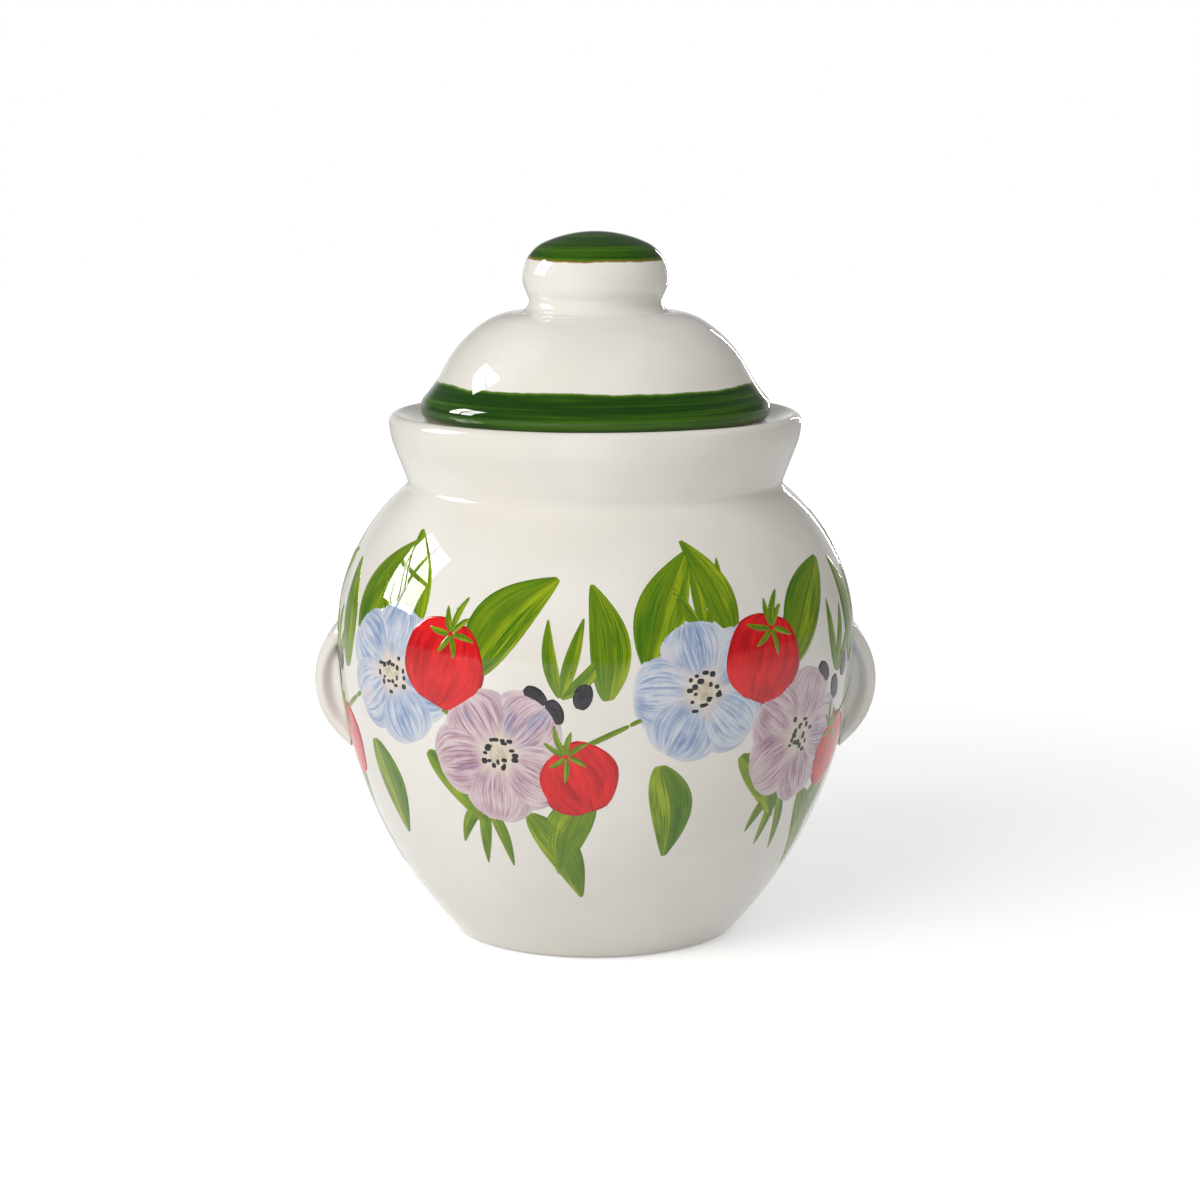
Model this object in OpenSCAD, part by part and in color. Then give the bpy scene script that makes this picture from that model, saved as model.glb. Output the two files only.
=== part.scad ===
// Lidded stoneware jar for olives: a turned body with a flared neck, two blind side lugs
// and a loose domed lid with a round knob. The origin is the centre of the foot, on the table.

/* [Jar body] */
// Outside diameter of the belly at its widest
belly_d = 152; // [145:1:170]
// Height of the widest line above the table
belly_z = 88.5; // [84:0.5:96]
// Radius of the long curve from the widest line down to the foot
belly_curve = 128.5; // [110:0.5:150]
// Radius of the curve from the widest line up to the neck
shoulder_curve = 56; // [53:0.5:58]
// Thickness of the fired clay wall
wall = 5; // [4:0.5:6]
// Thickness of the floor
floor_t = 6; // [4.5:0.5:8]
// Radius of the inside corner between floor and wall
floor_round = 9; // [4:0.5:14]

/* [Foot] */
// Radius of the soft edge where the belly meets the table
foot_round = 3; // [1.5:0.5:4]
// Width of the ring that the jar stands on
foot_ring_w = 6; // [4:0.5:9]
// Depth of the recess inside the foot ring
foot_recess = 2; // [1:0.5:2.5]

/* [Neck and lip] */
// Height of the flared neck, from its crease to the lip's crest
neck_h = 20.2; // [18:0.1:26]
// How far the lid's ledge stands in from the inside of the neck
ledge_reach = 4; // [2:0.1:6]
// Radius of the soft crease between shoulder and neck
neck_round = 2; // [1:0.25:4]
// Radius of the gentle curve that brings the flare upright
lip_curve = 20; // [12:1:30]
// Radius of the lip's rounded crest
lip_round = 2.5; // [2:0.1:3.2]
// Width of the lip, from the lid's recess to its outside
lip_w = 8.4; // [7:0.1:10]
// Depth of the lid's seat below the lip's crest
seat_drop = 2; // [1.2:0.1:3]
// Thickness of the ledge that forms the seat
ledge_t = 6; // [4:0.5:9]

/* [Lugs] */
// Diameter of the round lug before the body covers its inner half
lug_d = 47; // [38:0.5:54]
// Thickness of the lug, front to back
lug_t = 14; // [10:0.5:20]
// How far the lug stands out past the belly's widest line
lug_reach = 6.4; // [4:0.1:12]
// Height of the lug's middle above the table
lug_z = 74.7; // [66:0.1:84]
// Radius of the lug's rounded border
lug_round = 4; // [2:0.25:4.5]
// Depth of the dish in each face of the lug
dish_depth = 3; // [1:0.25:4]

/* [Lid] */
// Outside diameter of the lid's rim
lid_d = 102; // [96:0.5:106]
// Gap between the lid's rim and the recess round it
lid_play = 0.8; // [0.4:0.1:1.5]
// Radius of the rim's lower edge
rim_low_round = 2.6; // [1.5:0.1:3.5]
// Radius of the rim's upper edge
rim_round = 4.1; // [3:0.1:5.5]
// Height of the middle of the upper edge above the seat
rim_rise = 3.7; // [3.6:0.1:5]
// Radius of the hollow curve between rim and dome
ogee_curve = 37; // [20:1:60]
// How far the dome's side is set in from the rim
dome_inset = 2.8; // [1.5:0.1:5]
// Radius of the dome's side
dome_curve = 35; // [32:0.5:38]
// Height of the centre of that radius, measured down from the seat
dome_drop = 1.3; // [0:0.1:3]
// Angle above level at which the dome's side turns into its crown
crown_angle = 57.7; // [50:0.1:62]
// Radius of the dome's crown
crown_curve = 18.5; // [14:0.5:24]
// Thickness of the lid's wall
lid_wall = 4.5; // [3.5:0.25:5.5]
// Height of the painted band above the lid's seat
band_h = 11.2; // [8:0.1:14]

/* [Locating collar under the lid] */
// Gap between the collar and the jar's throat
collar_play = 0.8; // [0.4:0.1:1.5]
// Width of the seat that the rim rests on
seat_w = 5.8; // [4.5:0.1:7]
// Thickness of the collar
collar_t = 4; // [3:0.25:5]
// Depth of the collar below the seat
collar_h = 9.5; // [6:0.5:14]
// Radius of the collar's lower edges
collar_round = 1.4; // [0.6:0.1:1.5]

/* [Knob] */
// Outside diameter of the knob
knob_d = 42.5; // [38:0.5:48]
// Height of the knob above the dome
knob_h = 23; // [21.8:0.1:26]
// Height of the knob's widest line above the dome
knob_mid = 9.8; // [8.5:0.1:10.4]
// Radius of the knob's rounded side
knob_curve = 11; // [10:0.1:11.2]
// Radius of the hollow curve at the knob's foot
knob_blend = 3; // [2:0.1:4]
// Thickness of the hollow knob's wall
knob_wall = 4.5; // [3.5:0.25:6]
// Diameter of the opening between dome and knob
knob_bore = 26; // [18:0.5:28]
// Height above the dome at which the painted cap begins
cap_from = 14.9; // [12:0.1:18]

/* [Hidden] */
glaze = [0.93, 0.91, 0.87];
leaf_green = [0.10, 0.31, 0.05];
$fn = 120;

// Largest gap between a curve and its chords, and the widest step along a small curve
chord_gap = 0.03;
step_max = 9;

// Jar, from the belly outwards
belly_r = belly_d / 2;
belly_c = [belly_r - belly_curve, belly_z];
shoulder_c = [belly_r - shoulder_curve, belly_z];
foot_c = beside(belly_c, belly_curve - foot_round, foot_round);
floor_c = beside(belly_c, belly_curve - wall - floor_round, floor_t + floor_round);
foot_in_r = foot_c[0] - foot_ring_w;

// Widths of the lid, the recess that it sits in and the jar's throat
lid_r = lid_d / 2;
recess_r = lid_r + lid_play;
throat_r = recess_r - seat_w;
throat_round = 1;
collar_r = throat_r - collar_play;
collar_in_r = collar_r - collar_t;

// Neck, set round the throat, from its crease on the shoulder up to the lip
neck_in_r = throat_r + ledge_reach;
crease_c = above(shoulder_c, shoulder_curve + neck_round, neck_in_r + wall + neck_round);
jar_h = crease_c[1] + neck_h;
seat_z = jar_h - seat_drop;
ledge_z = seat_z - ledge_t;
lip_z = jar_h - lip_round;
lip_r = recess_r + lip_w;
lip_c = [lip_r - lip_round, lip_z];
flare_c = [lip_r - lip_curve, lip_z];
lip_slope = angle([recess_r, seat_z], lip_c) + asin(lip_round / norm(lip_c - [recess_r, seat_z]));

// Lean of the flare away from upright, where one straight line touches crease and lip curves
neck_tilt = 90 - angle(crease_c, flare_c) + asin((lip_curve + neck_round) / norm(flare_c - crease_c));

// Lug, a round ear set into the side
lug_r = lug_d / 2;
lug_x = belly_r + lug_reach - lug_r;
dish_r = lug_r - lug_round;
dish_curve = (dish_r * dish_r + dish_depth * dish_depth) / (2 * dish_depth);

// Dome
rim_c = [lid_r - rim_round, seat_z + rim_rise];
rim_low_c = [lid_r - rim_low_round, seat_z + rim_low_round];
dome_c = [lid_r - dome_inset - dome_curve, seat_z - dome_drop];
ogee_c = touching(dome_c, dome_curve + ogee_curve, rim_c, rim_round + ogee_curve);
crown_c = dome_c + (dome_curve - crown_curve) * [cos(crown_angle), sin(crown_angle)];
dome_top = crown_c[1] + crown_curve;
dome_in_angle = 11;

// Knob
knob_c = [knob_d / 2 - knob_curve, dome_top + knob_mid];
knob_top = dome_top + knob_h;
knob_over = knob_h - knob_mid;
top_curve = (knob_over * knob_over + knob_c[0] * knob_c[0] - knob_curve * knob_curve)
    / (2 * (knob_over - knob_curve));
top_c = [0, knob_top - top_curve];
top_angle = angle(top_c, knob_c);
blend_c = beside(knob_c, knob_curve + knob_blend, dome_top + knob_blend);
bore_r = knob_bore / 2;
bore_angle = acos((bore_r - knob_c[0]) / (knob_curve - knob_wall));

// Direction from point a to point b, in degrees
function angle(a, b) = atan2(b[1] - a[1], b[0] - a[0]);

// Point at height z that lies at distance d from c, on its outer side
function beside(c, d, z) = [c[0] + sqrt(d * d - (z - c[1]) * (z - c[1])), z];

// Highest point at distance da from a and db from b, with b to the right of a
function touching(a, da, b, db) =
    let (gap = norm(b - a), along = (da * da - db * db + gap * gap) / (2 * gap),
         off = sqrt(da * da - along * along), u = (b - a) / gap)
    a + along * u + off * [-u[1], u[0]];

// Point at radius r that lies at distance d from c, on its upper side
function above(c, d, r) = [r, c[1] + sqrt(d * d - (r - c[0]) * (r - c[0]))];

// Points along the curve of radius r round c, from angle a0 to angle a1
function arc(c, r, a0, a1) =
    let (step = min(step_max, 2 * acos(1 - chord_gap / r)), n = ceil(abs(a1 - a0) / step))
    [for (i = [0:n]) let (a = a0 + (a1 - a0) * i / n) c + r * [cos(a), sin(a)]];

// Outside of the jar's half section, from the foot up to the recess in the lip
jar_outside = concat(
    arc(foot_c, foot_round, -90, angle(belly_c, foot_c)),
    arc(belly_c, belly_curve, angle(belly_c, foot_c), 0),
    arc(shoulder_c, shoulder_curve, 0, angle(shoulder_c, crease_c)),
    arc(crease_c, neck_round, angle(crease_c, shoulder_c), -180 - neck_tilt),
    arc(flare_c, lip_curve, -neck_tilt, 0),
    arc(lip_c, lip_round, 0, 90 + lip_slope),
    [[recess_r, seat_z]]);

// Inside of the jar's half section, from the seat down to the floor
jar_inside = concat(
    arc([throat_r + throat_round, seat_z - throat_round], throat_round, 90, 180),
    [[throat_r, ledge_z], [neck_in_r, ledge_z - (neck_in_r - throat_r)]],
    arc(shoulder_c, shoulder_curve - wall,
        acos((neck_in_r - shoulder_c[0]) / (shoulder_curve - wall)), 0),
    arc(belly_c, belly_curve - wall, 0, angle(belly_c, floor_c)),
    arc(floor_c, floor_round, angle(belly_c, floor_c), -90),
    [[0, floor_t]]);

// Underside of the floor, with the recess inside the foot ring
jar_underside = [[0, foot_recess], [foot_in_r - foot_recess / 2, foot_recess], [foot_in_r, 0]];

module jar_body() {
    color(glaze) rotate_extrude() polygon(concat(jar_outside, jar_inside, jar_underside));
}

// The body from the table to the neck as one solid, to trim what is set against it
module body_filled() {
    rotate_extrude($fn = 240) {
        intersection() {
            translate(belly_c) circle(belly_curve);
            square([belly_r, belly_z]);
        }
        intersection() {
            translate(shoulder_c) circle(shoulder_curve);
            translate([0, belly_z]) square([belly_r, lip_z - belly_z]);
        }
    }
}

// Half section of the lug: a rounded border round two dished faces
module lug_section() {
    difference() {
        union() {
            translate([0, -lug_t / 2]) square([dish_r, lug_t]);
            translate([0, lug_round - lug_t / 2]) square([lug_r, lug_t - 2 * lug_round]);
            for (side = [-1, 1]) translate([dish_r, side * (lug_t / 2 - lug_round)]) circle(lug_round);
        }
        for (side = [-1, 1]) translate([0, side * (lug_t / 2 - dish_depth + dish_curve)]) circle(dish_curve);
        translate([-lug_r, -lug_t]) square([lug_r, 2 * lug_t]);
    }
}

module lug() {
    color(glaze) difference() {
        translate([lug_x, 0, lug_z]) rotate([90, 0, 0]) rotate_extrude() lug_section();
        body_filled();
    }
}

module lug_left() {
    mirror([1, 0, 0]) lug();
}

module lug_right() {
    lug();
}

dome_outside = concat(
    arc(rim_low_c, rim_low_round, -90, 0),
    arc(rim_c, rim_round, 0, angle(rim_c, ogee_c)),
    arc(ogee_c, ogee_curve, angle(ogee_c, rim_c), angle(ogee_c, dome_c)),
    arc(dome_c, dome_curve, angle(dome_c, ogee_c), crown_angle),
    arc(crown_c, crown_curve, crown_angle, 90));

dome_inside = concat(
    arc(crown_c, crown_curve - lid_wall, 90, crown_angle),
    arc(dome_c, dome_curve - lid_wall, crown_angle, dome_in_angle),
    [[collar_in_r, seat_z]]);

module dome_shell() {
    rotate_extrude() polygon(concat(
        dome_outside, [[bore_r, dome_top], [bore_r, dome_top - lid_wall]], dome_inside));
}

// Everything from height low up to height high, as wide as the jar
module slice(low, high) {
    translate([0, 0, low]) cylinder(r = belly_r, h = high - low);
}

module lid_dome() {
    color(leaf_green) intersection() {
        dome_shell();
        slice(seat_z - 1, seat_z + band_h);
    }
    color(glaze) intersection() {
        dome_shell();
        slice(seat_z + band_h, knob_top);
    }
}

module lid_collar() {
    collar_end = seat_z - collar_h;
    color(glaze) rotate_extrude() polygon(concat(
        [[collar_r, seat_z], [collar_in_r, seat_z]],
        arc([collar_in_r + collar_round, collar_end + collar_round], collar_round, 180, 270),
        arc([collar_r - collar_round, collar_end + collar_round], collar_round, 270, 360)));
}

knob_outside = concat(
    arc(blend_c, knob_blend, -90, angle(blend_c, knob_c) - 360),
    arc(knob_c, knob_curve, angle(knob_c, blend_c), top_angle),
    arc(top_c, top_curve, top_angle, 90));

knob_inside = concat(
    arc(top_c, top_curve - knob_wall, 90, top_angle),
    arc(knob_c, knob_curve - knob_wall, top_angle, -bore_angle),
    [[bore_r, dome_top]]);

module knob_shell() {
    rotate_extrude() polygon(concat(knob_outside, knob_inside));
}

module lid_knob() {
    color(glaze) intersection() {
        knob_shell();
        slice(dome_top - 1, dome_top + cap_from);
    }
    color(leaf_green) intersection() {
        knob_shell();
        slice(dome_top + cap_from, knob_top + 1);
    }
}

jar_body();
lug_left();
lug_right();
lid_dome();
lid_collar();
lid_knob();
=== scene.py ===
import math
import random
import bpy
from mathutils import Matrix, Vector


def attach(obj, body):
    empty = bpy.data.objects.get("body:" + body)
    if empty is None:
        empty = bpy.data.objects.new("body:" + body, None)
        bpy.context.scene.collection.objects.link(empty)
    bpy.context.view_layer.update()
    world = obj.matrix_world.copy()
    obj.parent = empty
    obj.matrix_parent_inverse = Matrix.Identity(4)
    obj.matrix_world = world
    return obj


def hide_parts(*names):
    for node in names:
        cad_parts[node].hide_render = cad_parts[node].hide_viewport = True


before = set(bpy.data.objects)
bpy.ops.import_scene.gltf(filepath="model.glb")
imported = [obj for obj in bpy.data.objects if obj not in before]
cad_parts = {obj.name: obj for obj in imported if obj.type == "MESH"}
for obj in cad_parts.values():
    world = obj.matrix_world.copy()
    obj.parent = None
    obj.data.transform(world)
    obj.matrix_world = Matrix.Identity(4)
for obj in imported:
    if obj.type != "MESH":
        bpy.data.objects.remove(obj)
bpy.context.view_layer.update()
mm = 0.001
print("frame loaded")


# Small helpers

def clearSelection():
    bpy.ops.object.select_all(action="DESELECT")


def newMaterial(name):
    material = bpy.data.materials.new(name)
    material.use_nodes = True
    material.node_tree.nodes.clear()
    return material


def addNode(material, kind, values=None, **settings):
    made = material.node_tree.nodes.new(kind)
    for key, value in settings.items():
        setattr(made, key, value)
    for key, value in (values or {}).items():
        made.inputs[key].default_value = value
    return made


def link(material, fromSocket, toSocket):
    material.node_tree.links.new(fromSocket, toSocket)


def calculate(material, operation, first, second=None, third=None, clamp=False):
    made = addNode(material, "ShaderNodeMath", operation=operation, use_clamp=clamp)
    for place, value in enumerate((first, second, third)):
        if value is None:
            continue
        if isinstance(value, (int, float)):
            made.inputs[place].default_value = value
        else:
            link(material, value, made.inputs[place])
    return made.outputs[0]


def mixColours(material, amount, first, second):
    made = addNode(material, "ShaderNodeMix", data_type="RGBA")
    for socket, value in ((made.inputs[0], amount), (made.inputs[6], first), (made.inputs[7], second)):
        if isinstance(value, tuple):
            socket.default_value = (*value, 1)
        elif isinstance(value, (int, float)):
            socket.default_value = value
        else:
            link(material, value, socket)
    return made.outputs[2]


def noiseOn(material, coordinates, stretch, scale=1.0, detail=3.0, roughness=0.5):
    mapping = addNode(material, "ShaderNodeMapping", {"Scale": stretch})
    link(material, coordinates, mapping.inputs["Vector"])
    noise = addNode(material, "ShaderNodeTexNoise",
                    {"Scale": scale, "Detail": detail, "Roughness": roughness})
    link(material, mapping.outputs[0], noise.inputs["Vector"])
    return noise.outputs["Fac"]


def rampBetween(material, value, low, high):
    made = addNode(material, "ShaderNodeMapRange", {"From Min": low, "From Max": high},
                   interpolation_type="SMOOTHSTEP")
    link(material, value, made.inputs["Value"])
    return made.outputs[0]


# Clear glaze over a colour, with faint ripples and pinholes as a dipped glaze has

glaze = {
    "ivory": (0.80, 0.765, 0.70),
    "ivoryThick": (0.85, 0.825, 0.775),
    "roughness": 0.38,
    "coatRoughness": 0.03,
    "rippleSize": 26,        # ripples per metre
    "rippleHeight": 0.00014,
    "pinholeSize": 900,
    "pinholeHeight": 0.000012,
    "cloudSize": 30,         # where the glaze lies thicker
    "cloudLow": 0.35,
    "cloudHigh": 0.7,
}


def objectCoordinates(material):
    return addNode(material, "ShaderNodeTexCoord").outputs["Object"]


def ivoryColour(material, coordinates):
    cloud = noiseOn(material, coordinates, (1, 1, 1), scale=glaze["cloudSize"], detail=4)
    thick = rampBetween(material, cloud, glaze["cloudLow"], glaze["cloudHigh"])
    return mixColours(material, thick, glaze["ivory"], glaze["ivoryThick"])


def finishGlaze(material, colour, coordinates, extraHeight=None, extraDistance=0.0):
    shader = addNode(material, "ShaderNodeBsdfPrincipled", {
        "Roughness": glaze["roughness"], "Specular IOR Level": 0.0, "Coat Weight": 1.0,
        "Coat Roughness": glaze["coatRoughness"], "IOR": 1.5})
    link(material, colour, shader.inputs["Base Color"])
    ripple = noiseOn(material, coordinates, (1, 1, 1), scale=glaze["rippleSize"], detail=1.5)
    bump = addNode(material, "ShaderNodeBump", {"Strength": 1.0, "Distance": glaze["rippleHeight"]})
    link(material, ripple, bump.inputs["Height"])
    pinhole = noiseOn(material, coordinates, (1, 1, 1), scale=glaze["pinholeSize"], detail=2)
    fine = addNode(material, "ShaderNodeBump", {"Strength": 1.0, "Distance": glaze["pinholeHeight"]})
    link(material, pinhole, fine.inputs["Height"])
    link(material, bump.outputs[0], fine.inputs["Normal"])
    last = fine
    if extraHeight is not None:
        last = addNode(material, "ShaderNodeBump", {"Strength": 1.0, "Distance": extraDistance})
        link(material, extraHeight, last.inputs["Height"])
        link(material, fine.outputs[0], last.inputs["Normal"])
    link(material, last.outputs[0], shader.inputs["Normal"])
    link(material, bump.outputs[0], shader.inputs["Coat Normal"])
    output = addNode(material, "ShaderNodeOutputMaterial")
    link(material, shader.outputs[0], output.inputs["Surface"])
    return material


def makeIvoryGlaze():
    material = newMaterial("ivoryGlaze")
    coordinates = objectCoordinates(material)
    return finishGlaze(material, ivoryColour(material, coordinates), coordinates)


paintedGreen = {
    "dark": (0.010, 0.052, 0.0015),
    "light": (0.050, 0.145, 0.004),
    "thin": (0.11, 0.22, 0.012),      # where the brush left little colour
    "brown": (0.28, 0.17, 0.03),      # where it pooled over ivory, and broke on an edge
    "edgeWaver": 0.0011,              # how far the hand-painted edge wanders
    "waverSize": 55,
    "edgeSoftness": 0.0002,
    "brownWidth": 0.0009,
    "breakWidth": 0.0007,
    "streakStretch": (9, 9, 620),
    "streakShare": 0.6,
    "streakHeight": 0.00004,
    "broadStretch": (14, 14, 160),
    "toneLow": 0.44,
    "toneHigh": 0.62,
}


# Green laid on with a brush while the piece turned, above or below one height

def makeGreenGlaze(name, edgeHeight, side, edgeColour, breakHeight=None):
    material = newMaterial(name)
    coordinates = objectCoordinates(material)
    split = addNode(material, "ShaderNodeSeparateXYZ")
    link(material, coordinates, split.inputs[0])
    waver = noiseOn(material, coordinates, (1, 1, 0.2), paintedGreen["waverSize"], detail=4, roughness=0.6)
    reach = paintedGreen["edgeWaver"]
    wander = calculate(material, "MULTIPLY_ADD", waver, 2 * reach, -reach)
    height = calculate(material, "ADD", split.outputs[2], wander)
    inside = calculate(material, "MULTIPLY_ADD", height, side, -side * edgeHeight)
    streaks = noiseOn(material, coordinates, paintedGreen["streakStretch"], detail=5, roughness=0.65)
    broad = noiseOn(material, coordinates, paintedGreen["broadStretch"])
    tone = calculate(material, "ADD", calculate(material, "MULTIPLY", streaks, paintedGreen["streakShare"]),
                     calculate(material, "MULTIPLY", broad, 1 - paintedGreen["streakShare"]))
    lightness = rampBetween(material, tone, paintedGreen["toneLow"], paintedGreen["toneHigh"])
    green = mixColours(material, lightness, paintedGreen["dark"], paintedGreen["light"])
    edge = rampBetween(material, inside, 0.0, paintedGreen["brownWidth"])
    paint = mixColours(material, edge, edgeColour, green)
    if breakHeight is not None:
        worn = rampBetween(material, height, breakHeight + paintedGreen["breakWidth"], breakHeight)
        paint = mixColours(material, worn, paint, paintedGreen["brown"])
    cover = rampBetween(material, inside, -paintedGreen["edgeSoftness"], paintedGreen["edgeSoftness"])
    colour = mixColours(material, cover, ivoryColour(material, coordinates), paint)
    return finishGlaze(material, colour, coordinates, streaks, paintedGreen["streakHeight"])


# Bare fired clay under the foot ring

clay = {
    "dark": (0.30, 0.22, 0.15),
    "light": (0.55, 0.44, 0.33),
    "roughness": 0.85,
    "grainSize": 1400,
    "grainHeight": 0.0001,
}


def makeBareClay():
    material = newMaterial("bareClay")
    coordinates = objectCoordinates(material)
    grain = noiseOn(material, coordinates, (1, 1, 1), scale=clay["grainSize"], detail=4)
    colour = mixColours(material, grain, clay["dark"], clay["light"])
    shader = addNode(material, "ShaderNodeBsdfPrincipled", {"Roughness": clay["roughness"]})
    bump = addNode(material, "ShaderNodeBump", {"Strength": 1.0, "Distance": clay["grainHeight"]})
    link(material, colour, shader.inputs["Base Color"])
    link(material, grain, bump.inputs["Height"])
    link(material, bump.outputs[0], shader.inputs["Normal"])
    output = addNode(material, "ShaderNodeOutputMaterial")
    link(material, shader.outputs[0], output.inputs["Surface"])
    return material


ivoryGlaze = makeIvoryGlaze()
bareClay = makeBareClay()


# The wheel: a half section drawn point by point, then spun round the jar's axis

def pointsOnArc(centre, radius, fromAngle, toAngle, stepAngle=4.0):
    count = max(2, math.ceil(abs(toAngle - fromAngle) / stepAngle))
    made = []
    for i in range(count + 1):
        a = math.radians(fromAngle + (toAngle - fromAngle) * i / count)
        made.append((centre[0] + radius * math.cos(a), centre[1] + radius * math.sin(a)))
    return made


def angleTo(a, b):
    return math.degrees(math.atan2(b[1] - a[1], b[0] - a[0]))


def turnOnWheel(name, outline, steps=180, closed=True):
    clearSelection()
    bpy.ops.mesh.primitive_plane_add(size=mm)
    piece = bpy.context.object
    piece.name = name
    bpy.ops.object.mode_set(mode="EDIT")
    bpy.ops.mesh.select_all(action="SELECT")
    bpy.ops.mesh.merge(type="CENTER")
    start = Vector((outline[0][0] * mm, 0, outline[0][1] * mm))
    bpy.ops.transform.translate(value=start)
    points = [Vector((r * mm, 0, z * mm)) for r, z in outline]
    if closed:
        points.append(start)
    for a, b in zip(points, points[1:]):
        bpy.ops.mesh.extrude_region_move(TRANSFORM_OT_translate={"value": b - a})
    bpy.ops.mesh.select_all(action="SELECT")
    bpy.ops.mesh.remove_doubles(threshold=1e-7)
    bpy.ops.mesh.spin(steps=steps, angle=2 * math.pi, center=(0, 0, 0), axis=(0, 0, 1))
    bpy.ops.mesh.select_all(action="SELECT")
    bpy.ops.mesh.remove_doubles(threshold=2e-6)
    bpy.ops.mesh.normals_make_consistent(inside=False)
    bpy.ops.object.mode_set(mode="OBJECT")
    bpy.ops.object.shade_smooth()
    return piece


# A hand-thrown piece is never quite true: its surface gives way a little here and there, and only inwards

highestCloud = 1.3


def throwByHand(piece, depth, size):
    texture = bpy.data.textures.new(piece.name + "Unevenness", "CLOUDS")
    texture.noise_scale = size
    texture.noise_depth = 1
    modifier = piece.modifiers.new("unevenness", "DISPLACE")
    modifier.texture = texture
    modifier.texture_coords = "LOCAL"
    modifier.mid_level = highestCloud
    modifier.strength = depth
    bpy.context.view_layer.objects.active = piece
    bpy.ops.object.modifier_apply(modifier="unevenness")


def dress(piece, material, body, slot, *nodes):
    piece.data.materials.clear()
    piece.data.materials.append(material)
    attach(piece, body)
    if nodes:
        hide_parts(*nodes)


# Jar body, in millimetres as the potter's section is drawn

jar = {
    "bellyRadius": 76.0, "widestHeight": 88.5, "lowerCurve": 128.5, "shoulderCurve": 56.0,
    "wall": 5.0, "floor": 6.0, "floorRound": 9.0,
    "footRound": 3.0, "footRing": 6.0, "footRecess": 2.0,
    "neckInside": 50.0, "neckRound": 2.0, "neckHeight": 20.2,
    "lipCurve": 20.0, "lipRound": 2.5, "lipRadius": 60.2,
    "recess": 51.8, "seatDrop": 2.0, "seatRound": 1.0, "throat": 46.0, "ledge": 6.0,
    "ringSlope": 2.0, "ringChamfer": 1.0, "ringDrop": 0.7, "bareBelow": 0.6,
    "uneven": 0.00025, "unevenSize": 0.045,
}


def sideways(centre, distance, height):
    return (centre[0] + math.sqrt(distance ** 2 - (height - centre[1]) ** 2), height)


lowerCentre = (jar["bellyRadius"] - jar["lowerCurve"], jar["widestHeight"])
shoulderCentre = (jar["bellyRadius"] - jar["shoulderCurve"], jar["widestHeight"])
creaseRadius = jar["neckInside"] + jar["wall"] + jar["neckRound"]
creaseReach = jar["shoulderCurve"] + jar["neckRound"]
creaseRise = math.sqrt(creaseReach ** 2 - (creaseRadius - shoulderCentre[0]) ** 2)
crease = (creaseRadius, shoulderCentre[1] + creaseRise)
crest = crease[1] + jar["neckHeight"]
seat = crest - jar["seatDrop"]


def jarOutline():
    lip = (jar["lipRadius"] - jar["lipRound"], crest - jar["lipRound"])
    flare = (jar["lipRadius"] - jar["lipCurve"], lip[1])
    gap = math.dist(flare, crease)
    tilt = 90 - angleTo(crease, flare) + math.degrees(math.asin((jar["lipCurve"] + jar["neckRound"]) / gap))
    recess = (jar["recess"], seat)
    seatEdge = (jar["throat"] + jar["seatRound"], seat - jar["seatRound"])
    lipSlope = angleTo(recess, lip) + math.degrees(math.asin(jar["lipRound"] / math.dist(recess, lip)))
    foot = sideways(lowerCentre, jar["lowerCurve"] - jar["footRound"], jar["footRound"])
    innerFoot = sideways(lowerCentre, jar["lowerCurve"] - jar["wall"] - jar["floorRound"],
                         jar["floor"] + jar["floorRound"])
    ringInside = foot[0] - jar["footRing"]
    slopeStart = ringInside - jar["ringChamfer"]
    ledgeHeight = seat - jar["ledge"]
    innerShoulder = jar["shoulderCurve"] - jar["wall"]
    return (
        [(0, jar["footRecess"]), (slopeStart - jar["ringSlope"], jar["footRecess"]),
         (slopeStart, jar["footRecess"] - jar["ringDrop"]), (ringInside, 0)]
        + pointsOnArc(foot, jar["footRound"], -90, angleTo(lowerCentre, foot), 8)
        + pointsOnArc(lowerCentre, jar["lowerCurve"], angleTo(lowerCentre, foot), 0, 1.0)[1:]
        + pointsOnArc(shoulderCentre, jar["shoulderCurve"], 0, angleTo(shoulderCentre, crease), 1.8)[1:]
        + pointsOnArc(crease, jar["neckRound"], angleTo(crease, shoulderCentre), -180 - tilt, 12)[1:]
        + pointsOnArc(flare, jar["lipCurve"], -tilt, 0, 4)
        + pointsOnArc(lip, jar["lipRound"], 0, 90 + lipSlope, 10)[1:]
        + [recess]
        + pointsOnArc(seatEdge, jar["seatRound"], 90, 180, 20)
        + [(jar["throat"], ledgeHeight), (jar["neckInside"], ledgeHeight - jar["neckInside"] + jar["throat"])]
        + pointsOnArc(shoulderCentre, innerShoulder,
                      math.degrees(math.acos((jar["neckInside"] - shoulderCentre[0]) / innerShoulder)), 0, 3)
        + pointsOnArc(lowerCentre, jar["lowerCurve"] - jar["wall"], 0, angleTo(lowerCentre, innerFoot), 2)[1:]
        + pointsOnArc(innerFoot, jar["floorRound"], angleTo(lowerCentre, innerFoot), -90, 8)[1:]
        + [(0, jar["floor"])])


def makeJarBody():
    piece = turnOnWheel("jarBody", jarOutline(), steps=200, closed=False)
    throwByHand(piece, jar["uneven"], jar["unevenSize"])
    dress(piece, ivoryGlaze, "jar", "jar_glaze", "jar_body")
    piece.data.materials.append(bareClay)
    for face in piece.data.polygons:
        if face.center.z < jar["bareBelow"] * mm:
            face.material_index = 1


makeJarBody()
print("jar body turned")


# Lugs, pressed discs with a rounded border and dished faces, luted to the belly

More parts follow.
